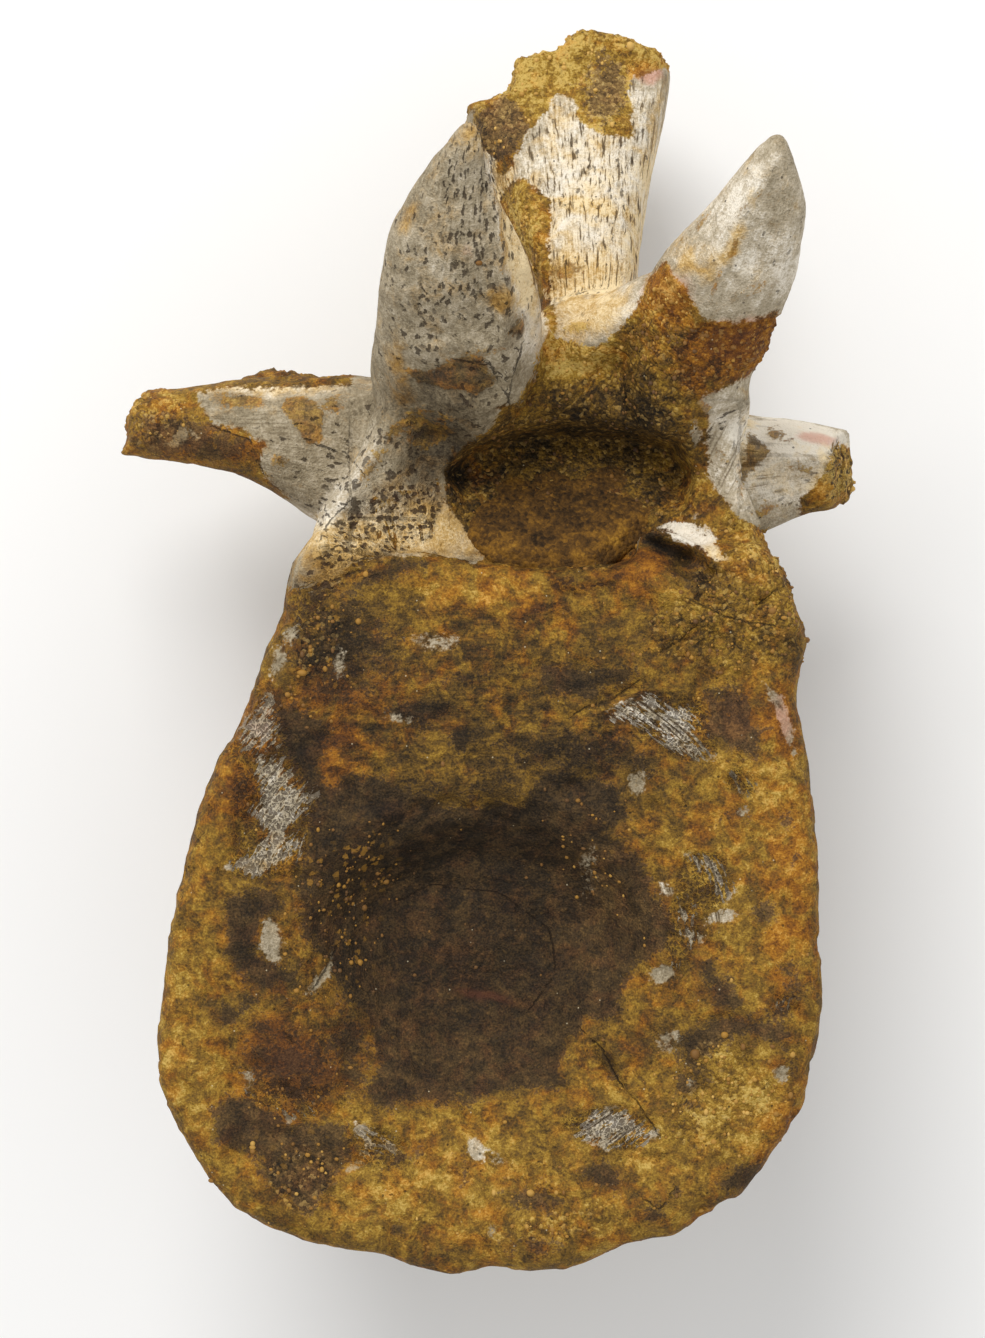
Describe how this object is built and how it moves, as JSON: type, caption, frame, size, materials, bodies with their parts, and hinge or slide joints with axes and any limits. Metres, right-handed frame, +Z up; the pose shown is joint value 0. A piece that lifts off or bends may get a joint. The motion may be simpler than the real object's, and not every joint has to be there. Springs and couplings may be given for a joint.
{
  "type": "fossil dinosaur tail vertebra",
  "caption": "Fossil tail vertebra of a large meat-eating dinosaur: dished oval body, sand-filled nerve canal, horn-like front processes, broken side processes and spine.",
  "frame": {"origin": "middle of the whole bone's box in plan, on the ground that the rear face of the centrum lies on", "axes": "+Z up, towards the animal's head; +Y up its back, towards the tip of the neural spine; +X its left side"},
  "size_m": [0.1694, 0.2738, 0.1423],
  "materials": {
    "stained_bone": "dry, grainy fossil bone, stained ochre and brown by iron",
    "pale_bone": "dry fossil bone, grey-white to cream, with ochre and pink stains and fine pores",
    "sandstone": "rough brown hardened sand"
  },
  "bodies": {
    "root": {"centrum": "stained_bone", "neural_arch": "pale_bone", "neural_spine": "pale_bone", "canal_matrix": "sandstone", "prezygapophysis_right": "pale_bone", "prezygapophysis_left": "pale_bone", "postzygapophysis_right": "pale_bone", "postzygapophysis_left": "pale_bone", "transverse_process_right": "pale_bone", "transverse_process_left": "pale_bone"}
  },
  "joints": []
}
